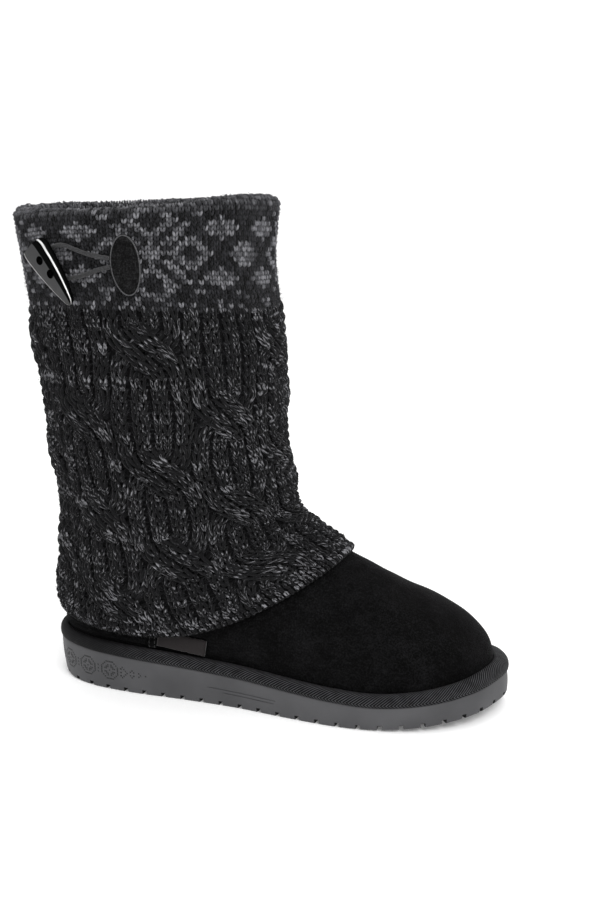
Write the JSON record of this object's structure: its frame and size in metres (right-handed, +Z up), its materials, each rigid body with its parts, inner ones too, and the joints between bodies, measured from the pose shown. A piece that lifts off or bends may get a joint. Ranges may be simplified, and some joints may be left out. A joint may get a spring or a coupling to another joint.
{
  "type": "knit boot",
  "caption": "Right pull-on winter boot with a suede foot, a cable-knit sleeve turned over the collar, a horn toggle on a loop and a low wedge rubber sole.",
  "frame": {"origin": "on the floor, under the middle of the boot's bounding box", "axes": "+X from heel to toe, +Y to the medial side of the right foot, +Z up from the floor"},
  "size_m": [0.2944, 0.1276, 0.2931],
  "materials": {
    "sole_rubber": "satin moulded rubber",
    "welt_tape": "woven herringbone tape",
    "black_suede": "fine black nap",
    "charcoal_knit": "marled chunky yarn",
    "grey_fleece": "short pile",
    "plain_tab": "close woven ribbon",
    "elastic_cord": "braided elastic",
    "black_horn": "polished horn"
  },
  "bodies": {
    "root": {"outsole": "sole_rubber", "welt": "welt_tape", "insole": "grey_fleece", "upper": "black_suede", "knit_sleeve": "charcoal_knit", "seam_binding_lateral": "black_suede", "seam_binding_medial": "black_suede", "side_tab": "plain_tab", "toggle_patch": "black_suede", "toggle_loop": "elastic_cord", "toggle": "black_horn"}
  },
  "joints": []
}
